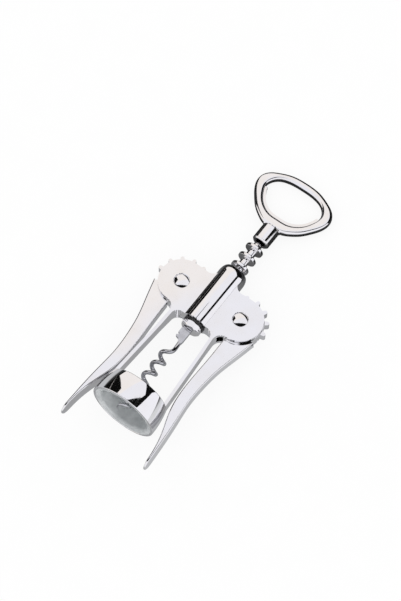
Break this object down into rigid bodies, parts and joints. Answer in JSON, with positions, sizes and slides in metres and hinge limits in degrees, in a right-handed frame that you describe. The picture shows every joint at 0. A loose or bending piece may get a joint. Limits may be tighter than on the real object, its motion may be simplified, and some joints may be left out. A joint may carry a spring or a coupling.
{
  "type": "wing corkscrew",
  "caption": "Wing corkscrew with two geared levers, a ribbed shaft that turns with its ring handle and worm, and a lined bell for the bottle's mouth.",
  "frame": {"origin": "under the middle of the length, on the surface the corkscrew lies on: the lowest line of the bell's rim is at Z = 0", "axes": "the corkscrew lies on its back: +Y along the worm axis towards the ring handle, +Z out of its front face, +X towards the right lever"},
  "size_m": [0.0692, 0.1865, 0.0385],
  "materials": {
    "cast_chrome": "polished chrome plate on a zinc casting",
    "bell_chrome": "polished chrome plate",
    "pin_chrome": "polished chrome plate",
    "turned_chrome": "chrome plate on turned steel",
    "worm_steel": "drawn steel wire, slightly dull",
    "washer_plastic": "black plastic",
    "liner_plastic": "grey translucent plastic, satin"
  },
  "bodies": {
    "frame": {"frame": "cast_chrome", "bell": "bell_chrome", "bell_liner": "liner_plastic", "left_pivot_pin": "pin_chrome", "right_pivot_pin": "pin_chrome"},
    "slider": {"stop_washer": "washer_plastic"},
    "screw": {"rack_shaft": "turned_chrome", "stop_ferrule": "turned_chrome", "worm": "worm_steel", "handle_collar": "turned_chrome", "handle_ring": "cast_chrome"},
    "left_lever": {"left_lever": "cast_chrome"},
    "right_lever": {"right_lever": "cast_chrome"}
  },
  "joints": [
    {"name": "shaft_slide", "type": "slide", "parent": "frame", "child": "slider", "axis": [0, -1, 0], "range_m": [0, 0.0315]},
    {"name": "screw_spin", "type": "hinge", "parent": "slider", "child": "screw", "pos_m": [0, -0.0142, 0.01925], "axis": [0, -1, 0], "continuous": true},
    {"name": "left_lever_hinge", "type": "hinge", "parent": "frame", "child": "left_lever", "pos_m": [-0.0192, 0.00356, 0.01925], "axis": [0, 0, -1], "range_deg": [0, 126]},
    {"name": "right_lever_hinge", "type": "hinge", "parent": "frame", "child": "right_lever", "pos_m": [0.0192, 0.00356, 0.01925], "axis": [0, 0, 1], "range_deg": [0, 126]}
  ],
  "couplings": [
    {"joint": "left_lever_hinge", "follows": "shaft_slide", "rad_per_m": 69.635},
    {"joint": "right_lever_hinge", "follows": "shaft_slide", "rad_per_m": 69.635}
  ]
}
